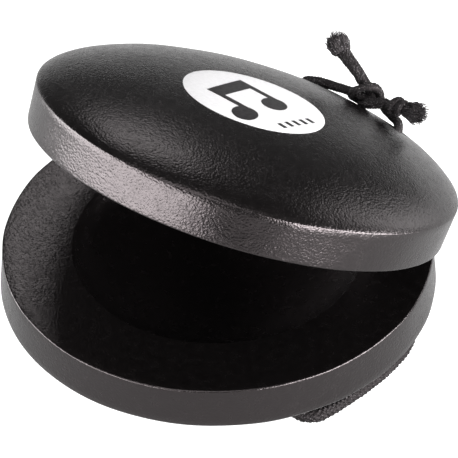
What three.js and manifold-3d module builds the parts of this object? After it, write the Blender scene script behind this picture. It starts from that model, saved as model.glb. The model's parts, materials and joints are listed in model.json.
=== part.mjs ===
// A pair of round finger castanets: two turned wooden shells, laced together at the back by one elastic
// cord that is their hinge and their spring. Millimetres, +Z up. The origin is the middle of the small flat
// on the crown of the lower shell, which the pair stands on. +Y points back to the cord, the mouth faces -Y.
// The upper shell is drawn closed on the lower one, and its group is then turned open about the hinge line.

import * as THREE from 'three';
import { mergeVertices } from 'three/addons/utils/BufferGeometryUtils.js';
import Module from 'manifold-3d';

const wasm = await Module();
wasm.setup();

// ---- driving dimensions ----
const faceRadius = 29;          // the striking face, so a pair 58 mm across
const bandRadius = 29.4;        // the upright band swells a little towards the dome
const bandHeight = 5.6;
const domeHeight = 6.3;
const crownFlatRadius = 4;      // the flat turned on the crown
const domeShoulder = 2.15;      // how long the dome stays near its full height
const domeEdge = 1.34;          // how steeply it comes down on the band
const edgeRound = 0.5;          // the broken edges of the band
const hollowRadius = 19.3;
const hollowDepth = 6.5;
const cordHoleX = 8.5;
const cordHoleY = 23;
const cordHoleRadius = 1.3;
const countersink = 0.6;        // depth of the flared mouth, which is twice as wide as it is deep
const openAngle = THREE.MathUtils.degToRad(27.9);
const closedGap = 0.3;          // between the two faces when the pair is shut
const hingeBack = 20.7;         // the hinge line, behind the middle of the face
const hingeBelow = 2.25;        // and below the lower face
const lowerBevelStart = 21.9;   // where the back of each face starts to fall away
const upperBevelStart = 20.7;
const shellShift = 0.3;         // how far the upper shell sits to the right of the lower one
const badgeRadius = 9.8;
const badgeX = 0.7;             // the badge is printed a little off the middle of the crown
const badgeY = -2.7;
const badgeThickness = 0.25;
const badgeGap = 0.15;
const looseCord = 1.7;          // the cord's thickness relaxed
const tautCord = 1.5;           // and stretched
const cordGap = 0.3;            // between two stretches of the cord, or cord and knot

const shellHeight = bandHeight + domeHeight;
const roundSegments = 48;
const holeSegments = 20;
const knotSegments = 16;
const cordSides = 8;
const loopSteps = 78;
const spanSteps = 14;
const tailSteps = 6;

// ---- tools ----
function toSolid(geometry) {
  const bare = geometry.clone();
  bare.deleteAttribute('normal');
  bare.deleteAttribute('uv');
  const merged = mergeVertices(bare, 1e-4);
  return new wasm.Manifold(new wasm.Mesh({
    numProp: 3,
    vertProperties: new Float32Array(merged.attributes.position.array),
    triVerts: new Uint32Array(merged.index.array),
  }));
}

function toGeometry(solid) {
  const mesh = solid.getMesh();
  const geometry = new THREE.BufferGeometry();
  geometry.setAttribute('position', new THREE.BufferAttribute(mesh.vertProperties, 3));
  geometry.setIndex(new THREE.BufferAttribute(mesh.triVerts, 1));
  return geometry;
}

// A turned solid: the outline is given as [radius, height], from the axis back to the axis.
function turned(outline, segments = roundSegments) {
  const points = outline.map(([radius, height]) => new THREE.Vector2(radius, height));
  return new THREE.LatheGeometry(points, segments).rotateX(Math.PI / 2);
}

// A solid round cord through points given as [x, y, z].
function cordAlong(points, thickness, steps) {
  const route = new THREE.CatmullRomCurve3(points.map((p) => new THREE.Vector3(...p)), false, 'centripetal');
  const section = new THREE.Shape();
  for (let i = 0; i < cordSides; i += 1) {
    const angle = (2 * Math.PI * i) / cordSides;
    const x = (thickness / 2) * Math.cos(angle);
    const y = (thickness / 2) * Math.sin(angle);
    if (i === 0) section.moveTo(x, y);
    else section.lineTo(x, y);
  }
  return new THREE.ExtrudeGeometry(section, { steps, extrudePath: route, curveSegments: 1 });
}

// A lump of wound cord, given by its middle and its three half sizes.
function lump(middle, halfSizes, grown = 0) {
  const ball = new THREE.SphereGeometry(1, knotSegments, knotSegments / 2);
  ball.scale(...halfSizes.map((size) => size + grown));
  return ball.translate(...middle);
}

function named(name, geometry, colour, roughness) {
  const material = new THREE.MeshStandardMaterial({ color: colour, roughness, metalness: 0 });
  const mesh = new THREE.Mesh(geometry, material);
  mesh.name = name;
  return mesh;
}

// ---- a shell, face down on z = 0 and dome up ----
function domeRise(radius) {
  const across = Math.max(0, (radius - crownFlatRadius) / (bandRadius - crownFlatRadius));
  return domeHeight * Math.max(0, 1 - across ** domeShoulder) ** (1 / domeEdge);
}

function shellOutline() {
  const outline = [];
  const hollowSteps = 7;
  for (let i = 0; i <= hollowSteps; i += 1) {
    const angle = (i / hollowSteps) * (Math.PI / 2);
    outline.push([hollowRadius * Math.sin(angle), hollowDepth * Math.cos(angle)]);
  }
  outline[0][0] = 0;
  outline[hollowSteps][1] = 0;
  outline.push([faceRadius - edgeRound / 2, 0]);
  outline.push([faceRadius, edgeRound / 2]);
  outline.push([bandRadius, bandHeight - edgeRound]);
  const domeSteps = 9;
  for (let i = 1; i <= domeSteps; i += 1) {
    const angle = (i / domeSteps) * (Math.PI / 2);
    const radius = crownFlatRadius + (bandRadius - crownFlatRadius) * Math.cos(angle);
    outline.push([radius, bandHeight + domeRise(radius)]);
  }
  outline.push([0, shellHeight]);
  return outline;
}

// The wedge that is planed off the back of the face, so that the mouth can stand open.
function bevelCutter(start) {
  const size = 4 * faceRadius;
  const wedge = new THREE.BoxGeometry(size, size, size);
  wedge.translate(0, 0, closedGap / 2 - size / 2);
  wedge.rotateX(openAngle / 2);
  return wedge.translate(0, start, 0);
}

const holeMouth = bandHeight + domeRise(Math.hypot(cordHoleX, cordHoleY));

// A straight bore with a countersunk mouth on the dome.
function cordHole(side) {
  const outline = [
    [0, -shellHeight],
    [cordHoleRadius, -shellHeight],
    [cordHoleRadius, holeMouth - countersink],
    [cordHoleRadius + 2 * countersink, holeMouth + countersink],
    [cordHoleRadius + 2 * countersink, 2 * shellHeight],
    [0, 2 * shellHeight],
  ];
  return turned(outline, holeSegments).translate(side * cordHoleX, cordHoleY, 0);
}

function shell(bevelStart) {
  return toSolid(turned(shellOutline()))
    .subtract(toSolid(bevelCutter(bevelStart)))
    .subtract(toSolid(cordHole(-1)))
    .subtract(toSolid(cordHole(1)));
}

// ---- the badge, a thin printed disc that follows the dome ----
function badgeOnDome() {
  const under = [0, 0.4, 0.7, 1].map((share) => [share * badgeRadius, badgeGap]);
  const over = under.map(([radius, height]) => [radius, height + badgeThickness]).reverse();
  const disc = turned([...under, ...over]).translate(badgeX, badgeY, 0);
  const { position } = disc.attributes;
  for (let i = 0; i < position.count; i += 1) {
    const surface = bandHeight + domeRise(Math.hypot(position.getX(i), position.getY(i)));
    position.setZ(i, position.getZ(i) + surface);
  }
  return disc;
}

// ---- the elastic cord ----
// Where the cord in the upper shell's holes starts, just above the bevel.
const bevelAtHole = (cordHoleY - upperBevelStart) * Math.tan(openAngle / 2) + closedGap / 2;

const hingeKnot = { middle: [1.6, 23, 11], halfSizes: [2.1, 1.6, 1.5] };
const tailKnot = { middle: [7.4, 22.6, 11.6], halfSizes: [1.2, 1.3, 1.3] };

const leftSpan = [
  [-cordHoleX, cordHoleY, bevelAtHole + cordGap],
  [-cordHoleX, cordHoleY, holeMouth - 2],
  [-8.3, 23.1, holeMouth],
  [-7.4, 23.4, 9.45],
  [-5.4, 23.4, 9.85],
  [-2.6, 23.1, 10.35],
  hingeKnot.middle,
];
const rightSpan = [
  [cordHoleX, cordHoleY, bevelAtHole + cordGap],
  [cordHoleX, cordHoleY, holeMouth - 2],
  [8.3, 23.1, holeMouth],
  [7.6, 23.7, 9.5],
  [6.2, 24.1, 9.8],
  [4.7, 24.2, 10.1],
  hingeKnot.middle,
];
const longTail = [
  [1, 23.1, 12.1],
  [-0.6, 23, 13.3],
  [-2.4, 22.9, 14.3],
  [-4, 22.9, 15.1],
];
const shortTail = [
  [2, 22.6, 11],
  [4, 22, 10.9],
  [5.4, 21.9, 11.2],
  tailKnot.middle,
];
// Each tail ends in a short open brush, from a place on its line to its tip.
const longFray = { from: [-4.3, 22.9, 15.3], to: [-5.8, 22.9, 16.4], startRadius: 1.0, endRadius: 1.4 };
const shortFray = { from: [9, 22.6, 11.8], to: [11.6, 22.6, 12.2], startRadius: 0.8, endRadius: 1.5 };
// Down through the right hole, forward under the dome, round, and back up through the left hole.
const floorHeight = 0.9;
const lowerMouth = shellHeight - holeMouth;
const lowerBevel = shellHeight - (cordHoleY - lowerBevelStart) * Math.tan(openAngle / 2) - closedGap;
const fingerLoop = [
  [cordHoleX, cordHoleY, lowerBevel],
  [cordHoleX, cordHoleY, lowerMouth + 1],
  [8.7, 22.9, lowerMouth - 0.2],
  [9.3, 22.8, 2],
  [10.1, 22.5, 1.35],
  [11.3, 22.1, 0.95],
  [13, 21.7, floorHeight],
  [16.4, 20.4, floorHeight],
  [20, 17.8, floorHeight],
  [22.8, 13.8, floorHeight],
  [24.8, 9.6, floorHeight],
  [25.6, 4.3, floorHeight],
  [25.5, -0.8, floorHeight],
  [25.1, -4.2, floorHeight],
  [24.7, -6.6, floorHeight],
  [24, -8.5, floorHeight],
  [22.3, -9.5, floorHeight],
  [20.3, -9, floorHeight],
  [19.1, -7.5, floorHeight],
  [19, -5.4, floorHeight],
  [19.9, -2.4, floorHeight],
  [20.7, 1, floorHeight],
  [20.6, 4.8, floorHeight],
  [19.2, 9.2, floorHeight],
  [16.4, 13.9, floorHeight],
  [12.2, 17.8, floorHeight],
  [6.8, 20.4, floorHeight],
  [1, 21.7, floorHeight],
  [-3.6, 22.2, floorHeight],
  [-5.7, 22.4, 0.95],
  [-6.8, 22.6, 1.35],
  [-7.7, 22.8, 2],
  [-8.3, 22.9, lowerMouth - 0.2],
  [-cordHoleX, cordHoleY, lowerMouth + 1],
  [-cordHoleX, cordHoleY, lowerBevel],
];

// A stretch of cord cut back where it meets the knots, so that it stops just short of them.
function cordBetweenKnots(points, thickness, steps, knots) {
  let solid = toSolid(cordAlong(points, thickness, steps));
  for (const knot of knots) {
    solid = solid.subtract(toSolid(lump(knot.middle, knot.halfSizes, cordGap)));
  }
  return toGeometry(solid);
}

// The frayed end of a tail: the cord opens into a short brush.
function brush({ from, to, startRadius, endRadius }) {
  const start = new THREE.Vector3(...from);
  const along = new THREE.Vector3(...to).sub(start);
  const cone = new THREE.CylinderGeometry(endRadius, startRadius, along.length(), knotSegments);
  cone.translate(0, along.length() / 2, 0);
  const turn = new THREE.Quaternion().setFromUnitVectors(new THREE.Vector3(0, 1, 0), along.normalize());
  return cone.applyQuaternion(turn).translate(...from);
}

// ---- the assembly ----
const lacquer = 0x1c1b1c;
const print = 0xf2f1f3;
const elastic = 0x222124;

const castanets = new THREE.Group();

const lowerShell = named('lower_shell', toGeometry(shell(lowerBevelStart)), lacquer, 0.4);
lowerShell.position.z = shellHeight;
lowerShell.rotation.y = Math.PI;
castanets.add(lowerShell);
castanets.add(named('finger_loop', cordAlong(fingerLoop, looseCord, loopSteps), elastic, 0.9));

// The upper pieces are drawn from the upper face, and turned about the hinge line.
const hinge = new THREE.Group();
hinge.position.set(0, hingeBack, shellHeight - hingeBelow);
hinge.rotation.x = -openAngle;
castanets.add(hinge);
const upper = new THREE.Group();
upper.position.set(0, -hingeBack, hingeBelow + closedGap);
hinge.add(upper);

const upperShell = named('upper_shell', toGeometry(shell(upperBevelStart)), lacquer, 0.4);
upperShell.position.x = shellShift;
upper.add(upperShell);
const badge = named('badge', badgeOnDome(), print, 0.5);
badge.position.x = shellShift;
upper.add(badge);
upper.add(named('hinge_knot', lump(hingeKnot.middle, hingeKnot.halfSizes), elastic, 0.9));
upper.add(named('tail_knot', lump(tailKnot.middle, tailKnot.halfSizes), elastic, 0.9));
const knots = [hingeKnot, tailKnot];
upper.add(named('left_span', cordBetweenKnots(leftSpan, tautCord, spanSteps, knots), elastic, 0.9));
upper.add(named('right_span', cordBetweenKnots(rightSpan, tautCord, spanSteps, knots), elastic, 0.9));
upper.add(named('short_tail', cordBetweenKnots(shortTail, tautCord, tailSteps, knots), elastic, 0.9));
upper.add(named('long_tail', cordBetweenKnots(longTail, looseCord, tailSteps, knots), elastic, 0.9));
upper.add(named('long_tail_fray', brush(longFray), elastic, 0.95));
upper.add(named('short_tail_fray', brush(shortFray), elastic, 0.95));

export default castanets;
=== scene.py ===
"""A pair of finger castanets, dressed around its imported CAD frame.

Two lacquered wooden shells, a badge printed on the upper one, and one braided elastic cord, which laces the
shells together, is knotted on the upper one and hangs below as a loop.

Sizes are named in millimetres and go into Blender in metres. Each shell is drawn face down on z = 0 with its
dome up. What belongs to the upper shell is drawn on it in that place, and is then turned open about the hinge
that the frame gives. The finger loop is drawn where it lies.
"""

import json
import math

import bmesh
import bpy
import numpy as np
from mathutils import Matrix, Vector


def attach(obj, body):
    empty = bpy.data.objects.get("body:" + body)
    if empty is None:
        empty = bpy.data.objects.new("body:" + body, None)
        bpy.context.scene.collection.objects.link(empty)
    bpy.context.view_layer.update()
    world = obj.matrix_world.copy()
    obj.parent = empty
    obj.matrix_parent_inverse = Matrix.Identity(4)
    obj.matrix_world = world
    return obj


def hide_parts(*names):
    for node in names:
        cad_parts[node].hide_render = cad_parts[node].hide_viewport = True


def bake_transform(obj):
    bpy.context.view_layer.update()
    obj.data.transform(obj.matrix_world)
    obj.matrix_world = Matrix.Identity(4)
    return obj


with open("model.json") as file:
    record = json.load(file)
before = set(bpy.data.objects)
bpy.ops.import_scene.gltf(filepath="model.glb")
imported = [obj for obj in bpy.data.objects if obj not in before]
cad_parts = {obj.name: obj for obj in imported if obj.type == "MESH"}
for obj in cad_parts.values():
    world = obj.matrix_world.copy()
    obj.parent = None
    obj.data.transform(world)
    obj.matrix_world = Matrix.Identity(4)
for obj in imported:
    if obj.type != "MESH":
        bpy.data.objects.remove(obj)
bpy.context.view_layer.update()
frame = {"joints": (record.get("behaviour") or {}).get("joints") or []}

# ---- sizes, in millimetres, as in the CAD ----
MM = 0.001  # in metres
FACE_RADIUS = 29
BAND_RADIUS = 29.4  # where the band meets the dome
BAND_HEIGHT = 5.6
DOME_HEIGHT = 6.3
CROWN_FLAT_RADIUS = 4
DOME_SHOULDER = 2.15  # the two powers in the dome's curve
DOME_EDGE = 1.34
EDGE_ROUND = 0.25  # the radius of the edge between the face and the band
HOLLOW_RADIUS = 19.3
HOLLOW_DEPTH = 6.5
HOLLOW_EDGE = 0.3  # the eased edge between the bowl and the rim
CORD_HOLE_X = 8.5
CORD_HOLE_Y = 23
CORD_HOLE_RADIUS = 1.3
COUNTERSINK = 0.6
CLOSED_GAP = 0.3  # between the two faces when the pair is shut
LOWER_BEVEL_START = 21.9  # how far behind the middle of each face its bevel starts
UPPER_BEVEL_START = 20.7
SHELL_SHIFT = 0.3  # how far the upper shell sits to the right of the lower one
BADGE_RADIUS = 9.8
BADGE_X = 0.7  # from the middle of the crown to the middle of the badge
BADGE_Y = -2.7
SHELL_HEIGHT = BAND_HEIGHT + DOME_HEIGHT

hinge = frame["joints"][0]
OPEN_ANGLE = math.radians(hinge["range_deg"][1])
PIVOT = Vector(hinge["pos_m"])

# From millimetres to the open pair's metres: for what is drawn where it lies, for the lower shell, for the
# cord on the upper shell, and for the upper shell itself with its badge.
METRES = Matrix.Scale(MM, 4)
LOWER = Matrix.Translation((0, 0, SHELL_HEIGHT * MM)) @ Matrix.Rotation(math.pi, 4, "Y") @ METRES
UPPER = (
    Matrix.Translation(PIVOT)
    @ Matrix.Rotation(-OPEN_ANGLE, 4, "X")
    @ Matrix.Translation(Vector((0, 0, (SHELL_HEIGHT + CLOSED_GAP) * MM)) - PIVOT)
    @ METRES
)
UPPER_SHELL = UPPER @ Matrix.Translation((SHELL_SHIFT, 0, 0))


def towards(azimuth, elevation):
    """A direction, where azimuth 0 is out of the mouth along -Y and 90 is +X, in degrees."""
    turn, rise = math.radians(azimuth), math.radians(elevation)
    return Vector((math.sin(turn) * math.cos(rise), -math.cos(turn) * math.cos(rise), math.sin(rise)))


# ---- camera ----
def add_camera():
    """Looks down on the mouth from the right, from far away through a long lens."""
    azimuth = 40.98
    elevation = 41.25
    turn = math.radians(azimuth)
    roll = math.radians(-0.92)
    distance = 0.7253  # in metres, as are the two shifts of its aim
    aim = Vector((0, 0, SHELL_HEIGHT * MM))
    aim_right = 0.00157
    aim_up = 0.00209
    back = towards(azimuth, elevation)
    right = Vector((math.cos(turn), math.sin(turn), 0))
    up = back.cross(right)
    across = math.cos(roll) * right + math.sin(roll) * up
    upward = math.cos(roll) * up - math.sin(roll) * right
    facing = Matrix((across, upward, back)).transposed().to_4x4()
    camera = bpy.data.objects.new("camera", bpy.data.cameras.new("camera"))
    camera.data.lens = 424.5
    camera.data.sensor_width = 36
    spot = aim + back * distance + right * aim_right + up * aim_up
    camera.matrix_world = Matrix.Translation(spot) @ facing
    bpy.context.scene.collection.objects.link(camera)
    bpy.context.scene.camera = camera


# ---- mesh tools ----
def add_mesh(name, vertices, faces):
    mesh = bpy.data.meshes.new(name)
    mesh.from_pydata([tuple(v) for v in vertices], [], [tuple(f) for f in faces])
    mesh.validate()
    piece = bpy.data.objects.new(name, mesh)
    bpy.context.scene.collection.objects.link(piece)
    return piece


def add_sheet(name, width, height):
    """A flat rectangle round the origin, which faces up."""
    x, y = width / 2, height / 2
    return add_mesh(name, [(-x, -y, 0), (x, -y, 0), (x, y, 0), (-x, y, 0)], [(0, 1, 2, 3)])


def turned(name, outline, segments):
    """A closed turned solid from an outline of (radius, height) rows that starts and ends on the axis."""
    angles = np.linspace(0, 2 * math.pi, segments, endpoint=False)
    circle = np.stack([np.cos(angles), np.sin(angles)], axis=1)
    vertices = [(0, 0, outline[0][1])]
    for radius, height in outline[1:-1]:
        vertices += [(radius * x, radius * y, height) for x, y in circle]
    vertices.append((0, 0, outline[-1][1]))
    last = len(vertices) - 1
    rings = len(outline) - 2
    faces = []
    for i in range(segments):
        j = (i + 1) % segments
        faces.append((0, 1 + j, 1 + i))
        for ring in range(rings - 1):
            low = 1 + ring * segments
            high = low + segments
            faces.append((low + i, low + j, high + j, high + i))
        top = 1 + (rings - 1) * segments
        faces.append((last, top + i, top + j))
    return add_mesh(name, vertices, faces)


def combine(piece, others, operation):
    """Cuts the others out of a piece, or joins them to it, and removes them."""
    for other in others:
        step = piece.modifiers.new(operation, "BOOLEAN")
        step.operation = operation
        step.solver = "EXACT"
        step.object = other
    depsgraph = bpy.context.evaluated_depsgraph_get()
    mesh = bpy.data.meshes.new_from_object(piece.evaluated_get(depsgraph))
    piece.modifiers.clear()
    piece.data = mesh
    for other in others:
        bpy.data.objects.remove(other)


def place(piece, matrix, material, sharp_degrees=40):
    """Puts a piece drawn in millimetres where it belongs, with smooth shading between its sharp edges."""
    piece.data.transform(matrix)
    piece.data.update()
    piece.data.shade_smooth()
    piece.data.set_sharp_from_angle(angle=math.radians(sharp_degrees))
    piece.data.materials.clear()
    piece.data.materials.append(material)


def uneven(points, wavelength, seed, waves=14):
    """A smooth random field, about -1 to 1, with bumps of roughly the given size."""
    shortest, longest = 0.7, 1.6  # of its waves, as shares of the wavelength
    random = np.random.default_rng(seed)
    total = np.zeros(len(points))
    for _ in range(waves):
        direction = random.normal(size=3)
        direction /= np.linalg.norm(direction)
        number = 2 * math.pi / (wavelength * random.uniform(shortest, longest))
        total += np.sin(points @ direction * number + random.uniform(0, 2 * math.pi))
    return total / math.sqrt(waves)


# ---- materials ----
WARM_GLOSS = (1.0, 0.88, 0.9, 1.0)  # the tint of the highlights on everything black
PAINTED_SHADE_AND_TONE = "relief"  # each cord vertex's value: painted shade on a braid, 0 in its valleys and 1 on its crests, and a random tone on a frayed fibre


def new_material(name, colour, roughness):
    material = bpy.data.materials.new(name)
    material.use_nodes = True
    shader = material.node_tree.nodes["Principled BSDF"]
    shader.inputs["Base Color"].default_value = (*colour, 1)
    shader.inputs["Roughness"].default_value = roughness
    return material, material.node_tree, shader


def add_node(tree, kind, **inputs):
    node = tree.nodes.new(kind)
    for name, value in inputs.items():
        node.inputs[name.replace("_", " ")].default_value = value
    return node


def object_coordinates(tree):
    return tree.nodes.new("ShaderNodeTexCoord").outputs["Object"]


def noise(tree, coordinates, feature_mm, detail=2.0):
    node = add_node(tree, "ShaderNodeTexNoise", Scale=1 / (feature_mm * MM), Detail=detail)
    tree.links.new(coordinates, node.inputs["Vector"])
    return node.outputs["Fac"]


def cells(tree, coordinates, feature_mm, smoothness):
    """The distance from the middle of the nearest of many rounded cells."""
    node = tree.nodes.new("ShaderNodeTexVoronoi")
    node.feature = "SMOOTH_F1"
    node.inputs["Scale"].default_value = 1 / (feature_mm * MM)
    node.inputs["Smoothness"].default_value = smoothness
    tree.links.new(coordinates, node.inputs["Vector"])
    return node.outputs["Distance"]


def ramp(tree, value, low, high, at_low=0.0, at_high=1.0):
    """Maps value from low..high to at_low..at_high."""
    node = add_node(tree, "ShaderNodeMapRange", From_Min=low, From_Max=high, To_Min=at_low, To_Max=at_high)
    tree.links.new(value, node.inputs["Value"])
    return node.outputs["Result"]


def mix_colours(tree, share, first, second):
    """Blends two colours, each given as numbers or as another node's output."""
    first_socket, second_socket, result_socket = 6, 7, 2  # the Mix node's sockets for colours
    node = tree.nodes.new("ShaderNodeMix")
    node.data_type = "RGBA"
    tree.links.new(share, node.inputs["Factor"])
    for socket, colour in ((first_socket, first), (second_socket, second)):
        if isinstance(colour, tuple):
            node.inputs[socket].default_value = (*colour, 1)
        else:
            tree.links.new(colour, node.inputs[socket])
    return node.outputs[result_socket]


def bump(tree, height, depth_mm, under=None):
    """A surface that rises with height by depth_mm, on top of another bump if there is one under it."""
    node = add_node(tree, "ShaderNodeBump", Distance=depth_mm * MM)
    tree.links.new(height, node.inputs["Height"])
    if under is not None:
        tree.links.new(under, node.inputs["Normal"])
    return node.outputs["Normal"]


def lacquer_material():
    """Black satin lacquer, sprayed over the wood with a fine pebbled skin."""
    swell_size, swell_depth = 2.0, 0.02
    pebble_size, pebble_smoothness, pebble_depth = 0.33, 0.4, 0.032
    grain_size, grain_depth = 0.28, 0.045
    cloud_size = 1.2
    glossiest, dullest = 0.21, 0.28
    black = (0.0014, 0.0012, 0.0012)
    material, tree, shader = new_material("black_lacquer", black, dullest)
    shader.inputs["Specular Tint"].default_value = WARM_GLOSS
    where = object_coordinates(tree)
    swell = bump(tree, noise(tree, where, swell_size, detail=1.0), swell_depth)
    pebbles = bump(tree, cells(tree, where, pebble_size, pebble_smoothness), -pebble_depth, swell)
    grain = bump(tree, noise(tree, where, grain_size), grain_depth, pebbles)
    tree.links.new(grain, shader.inputs["Normal"])
    clouds = noise(tree, where, cloud_size, detail=3.0)
    roughness = ramp(tree, clouds, low=0.35, high=0.65, at_low=glossiest, at_high=dullest)
    tree.links.new(roughness, shader.inputs["Roughness"])
    return material


def print_material(name, dark, light, roughness):
    """Printing ink on the lacquer, which takes on a little of its skin."""
    gloss = 0.25
    mottle_size = 0.5
    grain_size, grain_depth = 0.35, 0.012
    material, tree, shader = new_material(name, light, roughness)
    shader.inputs["Specular IOR Level"].default_value = gloss
    where = object_coordinates(tree)
    mottle = ramp(tree, noise(tree, where, mottle_size, detail=3.0), low=0.4, high=0.6)
    tree.links.new(mix_colours(tree, mottle, dark, light), shader.inputs["Base Color"])
    tree.links.new(bump(tree, noise(tree, where, grain_size), grain_depth), shader.inputs["Normal"])
    return material


def cord_material(name, shaded_valley_and_dark_fibre, crest, pale_fleck_and_glint, fleck_level):
    """Braided elastic: painted shade darkens it between the strands, it has its own colour on top of them,
    and pale flecks are partly pale fibres and partly painted glints.

    The flecks show where a noise is above fleck_level, so a lower level makes more of them.
    """
    gloss, roughness = 0.2, 0.6
    fleck_size, fleck_edge = 0.16, 0.08
    fibre_size, fibre_depth = 0.14, 0.06
    material, tree, shader = new_material(name, crest, roughness)
    shader.inputs["Specular IOR Level"].default_value = gloss
    shader.inputs["Specular Tint"].default_value = WARM_GLOSS
    where = object_coordinates(tree)
    # On a braid this value is painted shade and on a frayed end a random tone for each fibre. It darkens the
    # colour from the crest's to the valley's.
    relief = tree.nodes.new("ShaderNodeAttribute")
    relief.attribute_name = PAINTED_SHADE_AND_TONE
    body = mix_colours(tree, relief.outputs["Fac"], shaded_valley_and_dark_fibre, crest)
    # Pale flecks: partly pale fibres and partly painted glints on the strands.
    specks = noise(tree, where, fleck_size)
    flecks = ramp(tree, specks, low=fleck_level, high=fleck_level + fleck_edge)
    tree.links.new(mix_colours(tree, flecks, body, pale_fleck_and_glint), shader.inputs["Base Color"])
    tree.links.new(bump(tree, noise(tree, where, fibre_size), fibre_depth), shader.inputs["Normal"])
    return material


# ---- the shells ----
def dome_rise(radius):
    """How high the dome stands above the band at that distance from its axis."""
    past_flat = np.asarray(radius, float) - CROWN_FLAT_RADIUS
    across = np.clip(past_flat / (BAND_RADIUS - CROWN_FLAT_RADIUS), 0, 1)
    return DOME_HEIGHT * (1 - across**DOME_SHOULDER) ** (1 / DOME_EDGE)


def shell_outline():
    """From the middle of the bowl, over the rim and the band, to the middle of the crown."""
    bowl_points, rim_points, edge_points, band_points, dome_points = 22, 9, 6, 7, 44
    bowl_end = 0.05  # radians short of the face, where the eased edge starts
    crown_rings = (0.7, 0.35)  # as shares of the crown's flat
    outline = []
    for angle in np.linspace(math.pi / 2, bowl_end, bowl_points):
        outline.append((HOLLOW_RADIUS * math.cos(angle), HOLLOW_DEPTH * math.sin(angle)))
    outline[0] = (0, HOLLOW_DEPTH)
    outline.append((HOLLOW_RADIUS + HOLLOW_EDGE, 0))
    for radius in np.linspace(HOLLOW_RADIUS + 2 * HOLLOW_EDGE, FACE_RADIUS - EDGE_ROUND, rim_points):
        outline.append((radius, 0))
    for angle in np.linspace(-math.pi / 2, 0, edge_points)[1:]:
        radius = FACE_RADIUS - EDGE_ROUND + EDGE_ROUND * math.cos(angle)
        outline.append((radius, EDGE_ROUND + EDGE_ROUND * math.sin(angle)))
    for share in np.linspace(0, 1, band_points)[1:]:
        height = EDGE_ROUND + (BAND_HEIGHT - EDGE_ROUND) * share
        outline.append((FACE_RADIUS + (BAND_RADIUS - FACE_RADIUS) * share, height))
    for angle in np.linspace(0, math.pi / 2, dome_points)[1:]:
        radius = CROWN_FLAT_RADIUS + (BAND_RADIUS - CROWN_FLAT_RADIUS) * math.cos(angle)
        outline.append((radius, BAND_HEIGHT + float(dome_rise(radius))))
    for share in crown_rings:
        outline.append((share * CROWN_FLAT_RADIUS, SHELL_HEIGHT))
    outline.append((0, SHELL_HEIGHT))
    return outline


def bevel_cutter(start):
    """The wedge that is planed off the back of the face, so that the mouth can stand open.

    It is half the closed gap deep where it starts.
    """
    size = 4 * FACE_RADIUS
    top = CLOSED_GAP / 2
    corners = [(x, y, z) for x in (-size, size) for y in (-size, size) for z in (top - size, top)]
    faces = [(0, 1, 3, 2), (4, 6, 7, 5), (0, 4, 5, 1), (2, 3, 7, 6), (0, 2, 6, 4), (1, 5, 7, 3)]
    wedge = add_mesh("bevel_cutter", corners, faces)
    wedge.data.transform(Matrix.Translation((0, start, 0)) @ Matrix.Rotation(OPEN_ANGLE / 2, 4, "X"))
    return wedge


# How high the dome stands where a cord hole comes out.
HOLE_MOUTH = BAND_HEIGHT + float(dome_rise(math.hypot(CORD_HOLE_X, CORD_HOLE_Y)))


def hole_cutter(side):
    """A straight bore that flares softly where it comes out on the dome."""
    flare_points, flare_power, segments = 7, 1.8, 40
    outline = [(0, -SHELL_HEIGHT), (CORD_HOLE_RADIUS, -SHELL_HEIGHT)]
    for share in np.linspace(0, 1, flare_points):
        height = HOLE_MOUTH - COUNTERSINK + 2 * COUNTERSINK * share
        outline.append((CORD_HOLE_RADIUS + 2 * COUNTERSINK * share**flare_power, height))
    outline.append((CORD_HOLE_RADIUS + 2 * COUNTERSINK, 2 * SHELL_HEIGHT))
    outline.append((0, 2 * SHELL_HEIGHT))
    cutter = turned("hole_cutter", outline, segments)
    cutter.data.transform(Matrix.Translation((side * CORD_HOLE_X, CORD_HOLE_Y, 0)))
    return cutter


def add_shell(name, bevel_start, matrix, material, seed):
    """A turned shell whose outside is slightly uneven, as lacquered wood is, with its bevel and holes cut."""
    segments = 288
    swell_depth, swell_size, dome_share = 0.035, 9, 0.6
    fade = 4  # across the rim, from the bowl outwards
    dome_start = BAND_HEIGHT + 0.5
    shell = turned(name, shell_outline(), segments)
    points = np.array([v.co for v in shell.data.vertices])
    from_axis = np.hypot(points[:, 0], points[:, 1])
    outside = np.clip((from_axis - HOLLOW_RADIUS) / fade + (points[:, 2] > HOLLOW_DEPTH), 0, 1)
    swell = swell_depth * outside * uneven(points, swell_size, seed)
    points[:, :2] *= (1 + swell / FACE_RADIUS)[:, None]
    points[:, 2] += np.where(points[:, 2] > dome_start, dome_share * swell, 0)
    shell.data.vertices.foreach_set("co", points.ravel())
    combine(shell, [bevel_cutter(bevel_start), hole_cutter(-1), hole_cutter(1)], "DIFFERENCE")
    place(shell, matrix, material)
    return shell


# ---- the badge, printed on the crown ----
def lay_on_dome(piece):
    """Bends a piece drawn on z = 0 on to the dome, a little forward of the middle of the crown."""
    for vertex in piece.data.vertices:
        vertex.co.x += BADGE_X
        vertex.co.y += BADGE_Y
        vertex.co.z += BAND_HEIGHT + float(dome_rise(math.hypot(vertex.co.x, vertex.co.y)))


def add_badge(material):
    """A thin disc of paint that follows the dome, with its underside buried in the lacquer."""
    underside, edge, top = -0.05, 0.03, 0.055
    segments = 160
    rings = (0, 0.15, 0.3, 0.45, 0.6, 0.75, 0.88, 0.96, 1)  # as shares of its radius
    radii = [share * BADGE_RADIUS for share in rings]
    under = [(radius, underside) for radius in radii]
    over = [(radius, top) for radius in radii[-2::-1]]
    badge = turned("badge_disc", [*under, (BADGE_RADIUS, edge), *over], segments)
    lay_on_dome(badge)
    place(badge, UPPER_SHELL, material, sharp_degrees=60)
    return badge


def prism(name, outline, low, high):
    """An upright prism on an outline given counterclockwise."""
    count = len(outline)
    vertices = [(x, y, low) for x, y in outline] + [(x, y, high) for x, y in outline]
    faces = [tuple(reversed(range(count))), tuple(range(count, 2 * count))]
    for i in range(count):
        j = (i + 1) % count
        faces.append((i, j, count + j, count + i))
    return add_mesh(name, vertices, faces)


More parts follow.
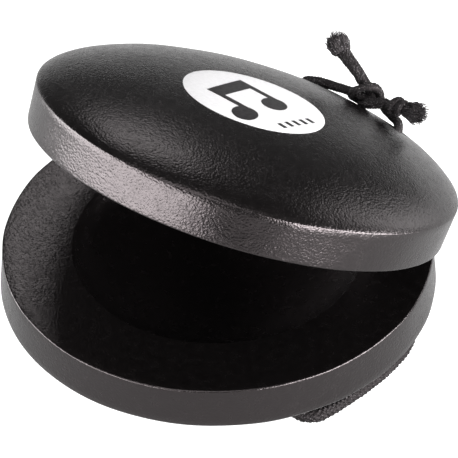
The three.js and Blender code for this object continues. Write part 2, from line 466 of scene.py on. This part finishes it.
def oval(x, y, length, width, turn_degrees, points=48):
    """The outline of a tilted ellipse round x, y."""
    turn = math.radians(turn_degrees)
    outline = []
    for angle in np.linspace(0, 2 * math.pi, points, endpoint=False):
        along = length / 2 * math.cos(angle)
        across = width / 2 * math.sin(angle)
        right = x + along * math.cos(turn) - across * math.sin(turn)
        up = y + along * math.sin(turn) + across * math.cos(turn)
        outline.append((right, up))
    return outline


def cut_in_squares(piece, step):
    """Adds edges on a square grid to a flat piece, so that it can be bent."""
    mesh = bmesh.new()
    mesh.from_mesh(piece.data)
    for axis in (Vector((1, 0, 0)), Vector((0, 1, 0))):
        for distance in np.arange(-BADGE_RADIUS, BADGE_RADIUS, step):
            everything = [*mesh.verts, *mesh.edges, *mesh.faces]
            bmesh.ops.bisect_plane(mesh, geom=everything, plane_co=distance * axis, plane_no=axis)
    mesh.to_mesh(piece.data)
    mesh.free()


# A quarter turn counterclockwise, written out so that it is exact.
QUARTER_TURN = Matrix(((0, -1, 0, 0), (1, 0, 0, 0), (0, 0, 1, 0), (0, 0, 0, 1)))


def add_mark(material):
    """Two beamed quavers over a row of short bars. Upright is towards -X, and the reader's right is +Y."""
    stem = 1.1
    slope = 0.12
    left_stem, right_stem = -3.7, 4.2
    beam_top, beam_depth = 4.7, 2.4
    head_length, head_width, head_tilt = 4.8, 3.5, 20
    head_past_stem = 0.3
    head_offset = 0.5 * head_length - head_past_stem
    head_height = -2.8
    in_head, in_beam = 0.3, (0.1, 0.3)  # what keeps a stem's ends inside its head and the beam
    bar_count, bar_foot, bar_height, bar_width, bar_pitch = 5, -7.9, 1.3, 0.7, 1.6
    low, high = 0.02, 0.08  # in the badge's paint, and just proud of it
    grid_step = 1.2

    def lifted(x, height):
        """The height that a level row reaches at x, because the quavers climb to the right."""
        return height + slope * (x - left_stem)

    shapes = []
    for x in (left_stem, right_stem):
        shapes.append(oval(x - head_offset, lifted(x, head_height), head_length, head_width, head_tilt))
        shapes.append(
            [
                (x - stem, lifted(x, head_height)),
                (x, lifted(x, head_height + in_head)),
                (x, lifted(x, beam_top - in_beam[0])),
                (x - stem, lifted(x, beam_top - in_beam[1])),
            ]
        )
    beam_start, beam_end = left_stem - stem, right_stem
    shapes.append(
        [
            (beam_start, lifted(beam_start, beam_top - beam_depth)),
            (beam_end, lifted(beam_end, beam_top - beam_depth)),
            (beam_end, lifted(beam_end, beam_top)),
            (beam_start, lifted(beam_start, beam_top)),
        ]
    )
    parts = [prism("mark_part", shape, low, high) for shape in shapes]
    mark = parts[0]
    mark.name = "badge_mark"
    combine(mark, parts[1:], "UNION")
    bars = []
    for i in range(bar_count):
        x = (i - bar_count // 2) * bar_pitch - 0.5 * bar_width
        corners = [(0, 0), (bar_width, 0), (bar_width, bar_height), (0, bar_height)]
        bars.append(prism("mark_bar", [(x + right, bar_foot + up) for right, up in corners], low, high))
    combine(mark, bars, "UNION")
    mark.data.transform(QUARTER_TURN)
    cut_in_squares(mark, grid_step)
    lay_on_dome(mark)
    place(mark, UPPER_SHELL, material, sharp_degrees=60)
    return mark


# ---- the elastic cord ----
def smooth_route(rows, samples=24):
    """A centripetal Catmull-Rom curve through rows of x, y, z and any further values, finely sampled."""
    centripetal = 0.5
    rows = np.asarray(rows, float)
    rows = np.vstack([2 * rows[0] - rows[1], rows, 2 * rows[-1] - rows[-2]])
    line = []
    for a, b, c, d in zip(rows, rows[1:], rows[2:], rows[3:]):
        t0 = 0
        t1 = t0 + np.linalg.norm((b - a)[:3]) ** centripetal
        t2 = t1 + np.linalg.norm((c - b)[:3]) ** centripetal
        t3 = t2 + np.linalg.norm((d - c)[:3]) ** centripetal
        for t in np.linspace(t1, t2, samples, endpoint=False):
            ab = a + (b - a) * (t - t0) / (t1 - t0)
            bc = b + (c - b) * (t - t1) / (t2 - t1)
            cd = c + (d - c) * (t - t2) / (t3 - t2)
            abc = ab + (bc - ab) * (t - t0) / (t2 - t0)
            bcd = bc + (cd - bc) * (t - t1) / (t3 - t1)
            line.append(abc + (bcd - abc) * (t - t1) / (t2 - t1))
    line.append(rows[-2])
    return np.array(line)


def even_steps(line, step):
    """The same line with a row at each step of its length."""
    lengths = np.concatenate([[0], np.cumsum(np.linalg.norm(np.diff(line[:, :3], axis=0), axis=1))])
    count = max(2, round(lengths[-1] / step) + 1)
    at = np.linspace(0, lengths[-1], count)
    return np.stack([np.interp(at, lengths, column) for column in line.T], axis=1), at


def sides_of(line):
    """Two directions square to the line at each of its points, which don't twist along it."""
    nearly_along = 0.9
    tangent = np.gradient(line, axis=0)
    tangent /= np.linalg.norm(tangent, axis=1)[:, None]
    across = np.empty_like(line)
    x_axis, y_axis = np.array([1.0, 0.0, 0.0]), np.array([0.0, 1.0, 0.0])
    start = y_axis if abs(tangent[0] @ y_axis) < nearly_along else x_axis
    across[0] = start - tangent[0] * (start @ tangent[0])
    across[0] /= np.linalg.norm(across[0])
    for i in range(1, len(line)):
        across[i] = across[i - 1] - tangent[i] * (across[i - 1] @ tangent[i])
        across[i] /= np.linalg.norm(across[i])
    return across, np.cross(tangent, across)


def braid_height(around, along, strands, cell):
    """How high the braid stands, 0 to 1: two sets of strands wind opposite ways, and take turns on top."""
    flatness = 0.7  # below 1, a strand has a broader back
    dip = 0.45  # how far a strand sinks where it goes under the next one
    turn = strands * around[None, :] / (2 * math.pi)
    climb = along[:, None] / cell
    one, other = turn + climb, turn - climb
    one_on_top = (np.floor(one) + np.floor(other)) % 2 == 0
    over = np.where(one_on_top, one, other) % 1
    under = np.where(one_on_top, other, one) % 1
    return np.sin(math.pi * over) ** flatness * (1 - dip + dip * np.sin(math.pi * under))


def store_painted_shade_and_tone(piece, values):
    """Gives each vertex the value that the cord's material turns into colour: painted shade on a braid, a
    random tone on a frayed fibre.
    """
    relief = piece.data.attributes.new(PAINTED_SHADE_AND_TONE, "FLOAT", "POINT")
    relief.data.foreach_set("value", np.asarray(values, np.float32))


def braided_tube(name, rows, matrix, material, strands, cell, relief, seed, sides=40, step=0.15):
    """A closed braided tube along rows of x, y, z and radius. Returns the piece, and its line in metres.

    The braid has that many strands each way, its cells are that long, and relief is its depth as a share of
    the cord's radius.
    """
    lump_size, lump_depth, lump_painted_shade = 1.6, 0.035, 0.25
    line, along = even_steps(smooth_route(rows), step)
    across, other = sides_of(line[:, :3])
    around = np.linspace(0, 2 * math.pi, sides, endpoint=False)
    height = braid_height(around, along, strands, cell)
    spread = 1 - relief * (1 - height)
    out = np.cos(around)[None, :, None] * across[:, None] + np.sin(around)[None, :, None] * other[:, None]
    points = line[:, None, :3] + (line[:, 3:4] * spread)[..., None] * out
    lumps = uneven(points.reshape(-1, 3), lump_size, seed).reshape(height.shape)
    points = points + (lump_depth * line[:, 3:4] * lumps)[..., None] * out
    rings = len(line)
    vertices = [*points.reshape(-1, 3), line[0, :3], line[-1, :3]]
    first, last = rings * sides, rings * sides + 1
    faces = []
    for k in range(sides):
        m = (k + 1) % sides
        faces.append((first, m, k))
        faces.append((last, (rings - 1) * sides + k, (rings - 1) * sides + m))
        for ring in range(rings - 1):
            low = ring * sides
            high = low + sides
            faces.append((low + k, low + m, high + m, high + k))
    piece = add_mesh(name, vertices, faces)
    # Painted shade: darker in the braid's valleys and where a lump sinks in, lighter on its crests and where
    # a lump stands out.
    shade = np.clip(height + lump_painted_shade * lumps, 0, 1)
    store_painted_shade_and_tone(piece, [*shade.ravel(), 0, 0])
    place(piece, matrix, material, sharp_degrees=180)
    centres = [tuple(matrix @ Vector(point)) for point in line[:, :3]]
    return piece, centres


def fibre_brush(name, start, end, start_radius, end_radius, count, curl, matrix, material, seed):
    """The open end of the cord: many short fibres that spread from one disc to a wider one, each curled."""
    shortest, longest = 0.7, 1.12  # as shares of the brush's length
    rounding = 0.35  # how much shorter the outermost fibres are
    thinnest, thickest, taper = 0.045, 0.085, 0.3
    root_depth = 0.4  # how deep in the cord the fibres start
    haste = 1.1  # the brush has its full width a little before its end
    random = np.random.default_rng(seed)
    start = np.array(start, float)
    axis = np.array(end, float) - start
    length = np.linalg.norm(axis)
    axis /= length
    side = np.cross(axis, [0.0, 1.0, 0.0])
    side /= np.linalg.norm(side)
    other = np.cross(axis, side)
    steps, corners = 6, 4
    vertices, faces, shades = [], [], []
    for _ in range(count):
        ring = math.sqrt(random.uniform(0, 1))
        angle = random.uniform(0, 2 * math.pi)
        out = math.cos(angle) * side + math.sin(angle) * other
        reach = length * random.uniform(shortest, longest) * (1 - rounding * ring**2)
        bend = random.normal(0, curl, 3)
        wave = random.normal(0, curl / 2, 3)
        thick = random.uniform(thinnest, thickest)
        shade = random.uniform(0, 1)
        base = len(vertices)
        path = []
        for t in np.linspace(0, 1, steps):
            spread = math.sin(math.pi / 2 * min(1, haste * t))
            radius = ring * (start_radius + (end_radius - start_radius) * spread)
            spot = start + axis * (reach * t - root_depth * (1 - t)) + out * radius
            path.append(spot + bend * t**2 + wave * math.sin(2 * math.pi * t))
        path = np.array(path)
        across, over = sides_of(path)
        for i, t in enumerate(np.linspace(0, 1, steps)):
            width = thick * (1 - taper * t**3)
            for c in range(corners):
                turn = 2 * math.pi * c / corners
                vertices.append(path[i] + width * (math.cos(turn) * across[i] + math.sin(turn) * over[i]))
                shades.append(shade)
        for i in range(steps - 1):
            for c in range(corners):
                d = (c + 1) % corners
                low, high = base + i * corners, base + (i + 1) * corners
                faces.append((low + c, low + d, high + d, high + c))
        faces.append(tuple(base + c for c in reversed(range(corners))))
        faces.append(tuple(base + (steps - 1) * corners + c for c in range(corners)))
    brush = add_mesh(name, vertices, faces)
    store_painted_shade_and_tone(brush, shades)
    place(brush, matrix, material, sharp_degrees=60)
    return brush


STRANDS = 8  # each way round the cord
# The cord's radius where it is stretched, and where it hangs loose.
TAUT = 0.74
LOOSE = 0.88
# How high in the lower shell's holes the loop ends and the left and right cords start.
LOWER_HOLE_END = 7.5


def to_upper(x, y, z, radius):
    """A place in the lower shell's hole, given in the pair's own millimetres, as the upper shell sees it."""
    spot = UPPER.inverted() @ (Vector((x, y, z)) * MM)
    return (*spot, radius)


def hole_rows(x):
    """Up through the lower shell's hole, across the hinge, and up through the upper shell's."""
    return [
        to_upper(x, CORD_HOLE_Y, LOWER_HOLE_END, TAUT),
        to_upper(x, CORD_HOLE_Y, 10, TAUT),
        (x, CORD_HOLE_Y, 1.4, TAUT),
        (x, CORD_HOLE_Y, 4, TAUT),
        (x, CORD_HOLE_Y, 6.8, TAUT),
    ]


def left_cord_rows():
    """Up the left holes, along the back of the dome, a bight in the knot, and out as the long tail."""
    return [
        *hole_rows(-CORD_HOLE_X),
        (-8.4, 23.1, 7.9, TAUT),
        (-7.8, 23.3, 8.6, TAUT),
        (-6.6, 23.4, 9.1, TAUT),
        (-5, 23.3, 9.5, 0.72),
        (-2.8, 23.2, 9.9, 0.7),
        (-0.8, 23, 10.3, 0.68),
        (0.6, 22.7, 10.6, 0.66),
        (1.5, 22.8, 10.5, 0.72),
        (2.3, 23.1, 10.6, 0.8),
        (2.6, 23.4, 11.1, 0.85),
        (2, 23.4, 11.7, 0.82),
        (1.1, 23.2, 12.2, 0.86),
        (-0.1, 23, 13.1, 0.9),
        (-1.6, 22.9, 13.9, 0.95),
        (-3.2, 22.9, 14.7, 1.04),
        (-4, 22.9, 15.1, 1.15),
    ]


def right_cord_rows():
    """Up the right holes, round the long tail in the knot, and out as the short tail with its own knot."""
    rows = [
        *hole_rows(CORD_HOLE_X),
        (8.5, 23.1, 8.3, 0.7),
        (7.8, 23.6, 9.2, 0.68),
        (6.2, 24.1, 9.6, 0.66),
        (4.8, 24.3, 9.9, 0.64),
        (3.8, 24.1, 10.8, 0.64),
        (3.4, 23.7, 11.8, 0.7),
        (2.9, 22.9, 12.4, 0.74),
        (2.3, 22.1, 12.3, 0.6),
        (1.4, 21.7, 11.7, 0.52),
        (0.5, 21.9, 10.9, 0.52),
        (0, 22.6, 10, 0.54),
        (0.1, 23.5, 9.6, 0.56),
        (0.8, 24, 9.4, 0.6),
        (1.6, 23.4, 9.5, 0.66),
        (3, 22.4, 10.1, 0.76),
        (4.6, 22, 10.9, 0.8),
        (5.8, 22.2, 11.4, 0.76),
    ]
    turns, coil_steps = 1.5, 12
    coil_radius, coil_cord_radius = 0.78, 0.68
    coil_start = np.array([6.6, 22.5, 11.6])
    coil_end = np.array([8.3, 22.6, 11.8])
    start_angle = math.radians(-120)
    lean = 0.15  # of the coil's turns along its axis
    for i in range(coil_steps + 1):
        share = i / coil_steps
        angle = start_angle + 2 * math.pi * turns * share
        swing = np.array([lean * math.sin(angle), -math.cos(angle), math.sin(angle)])
        middle = coil_start + (coil_end - coil_start) * share
        rows.append((*(middle + coil_radius * swing), coil_cord_radius))
    rows.append((9.3, 22.6, 11.9, 0.8))
    return rows


LOOP_HEIGHT = 0.9  # the middle of the cord, where the loop lies on the table
LOWER_MOUTH = SHELL_HEIGHT - HOLE_MOUTH  # how high the lower shell's holes come out
FOLD = (24, -8.5, LOOP_HEIGHT)  # where the loop is folded back on itself
# Down through the right hole, forward under the dome, round, and back up through the left hole.
FINGER_LOOP = [
    (CORD_HOLE_X, CORD_HOLE_Y, LOWER_HOLE_END),
    (CORD_HOLE_X, CORD_HOLE_Y, LOWER_MOUTH + 1),
    (8.7, 22.9, LOWER_MOUTH - 0.2),
    (9.3, 22.8, 2),
    (10.1, 22.5, 1.35),
    (11.3, 22.1, 0.95),
    (13, 21.7, LOOP_HEIGHT),
    (16.4, 20.4, LOOP_HEIGHT),
    (20, 17.8, LOOP_HEIGHT),
    (22.8, 13.8, LOOP_HEIGHT),
    (24.8, 9.6, LOOP_HEIGHT),
    (25.6, 4.3, LOOP_HEIGHT),
    (25.5, -0.8, LOOP_HEIGHT),
    (25.1, -4.2, LOOP_HEIGHT),
    (24.7, -6.6, LOOP_HEIGHT),
    FOLD,
    (22.3, -9.5, LOOP_HEIGHT),
    (20.3, -9, LOOP_HEIGHT),
    (19.1, -7.5, LOOP_HEIGHT),
    (19, -5.4, LOOP_HEIGHT),
    (19.9, -2.4, LOOP_HEIGHT),
    (20.7, 1, LOOP_HEIGHT),
    (20.6, 4.8, LOOP_HEIGHT),
    (19.2, 9.2, LOOP_HEIGHT),
    (16.4, 13.9, LOOP_HEIGHT),
    (12.2, 17.8, LOOP_HEIGHT),
    (6.8, 20.4, LOOP_HEIGHT),
    (1, 21.7, LOOP_HEIGHT),
    (-3.6, 22.2, LOOP_HEIGHT),
    (-5.7, 22.4, 0.95),
    (-6.8, 22.6, 1.35),
    (-7.7, 22.8, 2),
    (-8.3, 22.9, LOWER_MOUTH - 0.2),
    (-CORD_HOLE_X, CORD_HOLE_Y, LOWER_MOUTH + 1),
    (-CORD_HOLE_X, CORD_HOLE_Y, LOWER_HOLE_END),
]


def loop_cord_rows():
    """The loop's route, with the cord fuller round the fold."""
    fold_swell, fold_reach = 0.26, 3
    rows = []
    for x, y, z in FINGER_LOOP:
        away = math.dist((x, y, z), FOLD)
        swell = fold_swell * math.exp(-((away / fold_reach) ** 2))
        rows.append((x, y, z + swell, LOOSE + swell))
    return rows


# ---- the room, in metres ----
def face_pair(thing, azimuth, elevation, distance):
    """Stands a lamp or a card that far off in that direction, facing the pair."""
    direction = towards(azimuth, elevation)
    thing.location = direction * distance + Vector((0, 0, SHELL_HEIGHT * MM))
    thing.rotation_mode = "QUATERNION"
    thing.rotation_quaternion = direction.to_track_quat("Z", "Y")


def softbox(name, azimuth, elevation, distance, width, height, radiance):
    """A rectangular lamp that the camera doesn't see, whose brightness doesn't depend on its size."""
    lamp = bpy.data.lights.new(name, "AREA")
    lamp.shape = "RECTANGLE"
    lamp.size = width
    lamp.size_y = height
    lamp.energy = radiance * math.pi * width * height
    light = bpy.data.objects.new(name, lamp)
    light.visible_camera = False
    face_pair(light, azimuth, elevation, distance)
    bpy.context.scene.collection.objects.link(light)


def glow_material(name, albedo, radiance, seen_radiance):
    """A matt surface that glows, by another amount where the camera sees it than where it lights the pair."""
    material, tree, shader = new_material(name, (albedo, albedo, albedo), 1.0)
    shader.inputs["Specular IOR Level"].default_value = 0
    shader.inputs["Emission Color"].default_value = (1, 1, 1, 1)
    path = tree.nodes.new("ShaderNodeLightPath")
    is_seen = path.outputs["Is Camera Ray"]
    glow = ramp(tree, is_seen, low=0.0, high=1.0, at_low=radiance, at_high=seen_radiance)
    tree.links.new(glow, shader.inputs["Emission Strength"])
    return material


def dark_card(name, azimuth, elevation, distance, width, height):
    """A dark card that only gloss mirrors, which keeps bright things behind the pair out of the lacquer."""
    glow = 0.12
    card = add_sheet(name, width, height)
    card.data.materials.append(glow_material(name, albedo=0.0, radiance=glow, seen_radiance=glow))
    card.visible_camera = False
    card.visible_diffuse = False
    card.visible_shadow = False
    card.visible_transmission = False
    face_pair(card, azimuth, elevation, distance)


def add_table(size=5):
    """A white table that the camera sees as plain white."""
    floor = add_sheet("floor", size, size)
    floor.data.materials.append(glow_material("white_table", albedo=0.35, radiance=0.275, seen_radiance=1.0))


def add_lights():
    """Low softboxes that the bands and the dome mirror, softer ones behind and above, and a card behind."""
    softbox("key", azimuth=-34, elevation=12, distance=0.21, width=0.54, height=0.09, radiance=13.5)
    softbox("side", azimuth=98, elevation=14, distance=0.25, width=0.32, height=0.12, radiance=24)
    softbox("back_right", azimuth=166, elevation=12, distance=0.9, width=0.4, height=0.6, radiance=2.5)
    softbox("back_left", azimuth=-140, elevation=39, distance=0.9, width=0.32, height=0.26, radiance=3.4)
    softbox("top", azimuth=20, elevation=67, distance=0.9, width=0.65, height=0.65, radiance=2.8)
    dark_card("black_card", azimuth=-141, elevation=7, distance=0.2, width=0.22, height=0.18)


def add_room(radiance=0.09, seen_radiance=1.0):
    """A dim white room, which the camera sees as plain white."""
    world = bpy.data.worlds.new("room")
    bpy.context.scene.world = world
    world.use_nodes = True
    nodes = world.node_tree.nodes
    dim = nodes["Background"]
    dim.inputs["Color"].default_value = (1, 1, 1, 1)
    dim.inputs["Strength"].default_value = radiance
    seen = nodes.new("ShaderNodeBackground")
    seen.inputs["Strength"].default_value = seen_radiance
    path = nodes.new("ShaderNodeLightPath")
    mix = nodes.new("ShaderNodeMixShader")
    is_seen, when_not, when_seen = mix.inputs
    links = world.node_tree.links
    links.new(path.outputs["Is Camera Ray"], is_seen)
    links.new(dim.outputs["Background"], when_not)
    links.new(seen.outputs["Background"], when_seen)
    links.new(mix.outputs["Shader"], nodes["World Output"].inputs["Surface"])
    bpy.context.scene.view_settings.view_transform = "Standard"


# ---- the assembly ----
add_camera()
add_table()
add_lights()
add_room()

lacquer = lacquer_material()
ink = print_material(
    "badge_ink",
    dark=(0.012, 0.011, 0.012),
    light=(0.03, 0.028, 0.029),
    roughness=0.4,
)
paint = print_material(
    "badge_paint",
    dark=(0.75, 0.74, 0.75),
    light=(0.8, 0.79, 0.8),
    roughness=0.45,
)
elastic = cord_material(
    "elastic",
    shaded_valley_and_dark_fibre=(0.0012, 0.0011, 0.0011),
    crest=(0.012, 0.011, 0.0115),
    pale_fleck_and_glint=(0.18, 0.168, 0.172),
    fleck_level=0.6,
)
# The loop's cord: the same elastic, darker and with fewer, darker flecks, as painted shade against the light
# that the table throws on it.
shaded_loop_elastic = cord_material(
    "shaded_loop_elastic",
    shaded_valley_and_dark_fibre=(0.001, 0.0009, 0.0009),
    crest=(0.008, 0.0074, 0.0077),
    pale_fleck_and_glint=(0.11, 0.102, 0.105),
    fleck_level=0.63,
)
frayed = cord_material(
    "frayed_elastic",
    shaded_valley_and_dark_fibre=(0.002, 0.0018, 0.0019),
    crest=(0.05, 0.046, 0.048),
    pale_fleck_and_glint=(0.3, 0.28, 0.29),
    fleck_level=0.64,
)

lower_shell = add_shell("lower_shell_turned", LOWER_BEVEL_START, LOWER, lacquer, seed=3)
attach(lower_shell, "lower")
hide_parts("lower_shell")

upper_shell = add_shell("upper_shell_turned", UPPER_BEVEL_START, UPPER_SHELL, lacquer, seed=8)
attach(upper_shell, "upper")
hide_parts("upper_shell")

badge = add_badge(paint)
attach(badge, "upper")
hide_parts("badge")

mark = add_mark(ink)
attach(mark, "upper")

finger_loop, loop_line = braided_tube(
    "finger_loop_cord",
    loop_cord_rows(),
    METRES,
    shaded_loop_elastic,
    strands=STRANDS,
    cell=0.75,
    relief=0.34,
    seed=21,
)
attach(finger_loop, "lower")
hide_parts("finger_loop")

# The left and right cords run from the lower shell's holes to the knot on the upper one, and share a braid
# with shorter cells than the loop's.
taut_braid = {"strands": STRANDS, "cell": 0.5, "relief": 0.28}

left_cord, _ = braided_tube("left_cord", left_cord_rows(), UPPER, elastic, seed=22, **taut_braid)
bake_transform(left_cord)
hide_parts("left_span", "hinge_knot", "long_tail")

right_cord, _ = braided_tube("right_cord", right_cord_rows(), UPPER, elastic, seed=23, **taut_braid)
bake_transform(right_cord)
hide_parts("right_span", "short_tail", "tail_knot")

long_fray = fibre_brush(
    "long_fray",
    start=(-3.9, 22.9, 15),
    end=(-5.8, 22.9, 16.5),
    start_radius=1.1,
    end_radius=1.45,
    count=520,
    curl=0.2,
    matrix=UPPER,
    material=frayed,
    seed=31,
)
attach(long_fray, "upper")
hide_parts("long_tail_fray")

short_fray = fibre_brush(
    "short_fray",
    start=(9, 22.6, 11.8),
    end=(11.9, 22.6, 12.3),
    start_radius=0.8,
    end_radius=1.35,
    count=420,
    curl=0.22,
    matrix=UPPER,
    material=frayed,
    seed=32,
)
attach(short_fray, "upper")
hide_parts("short_tail_fray")
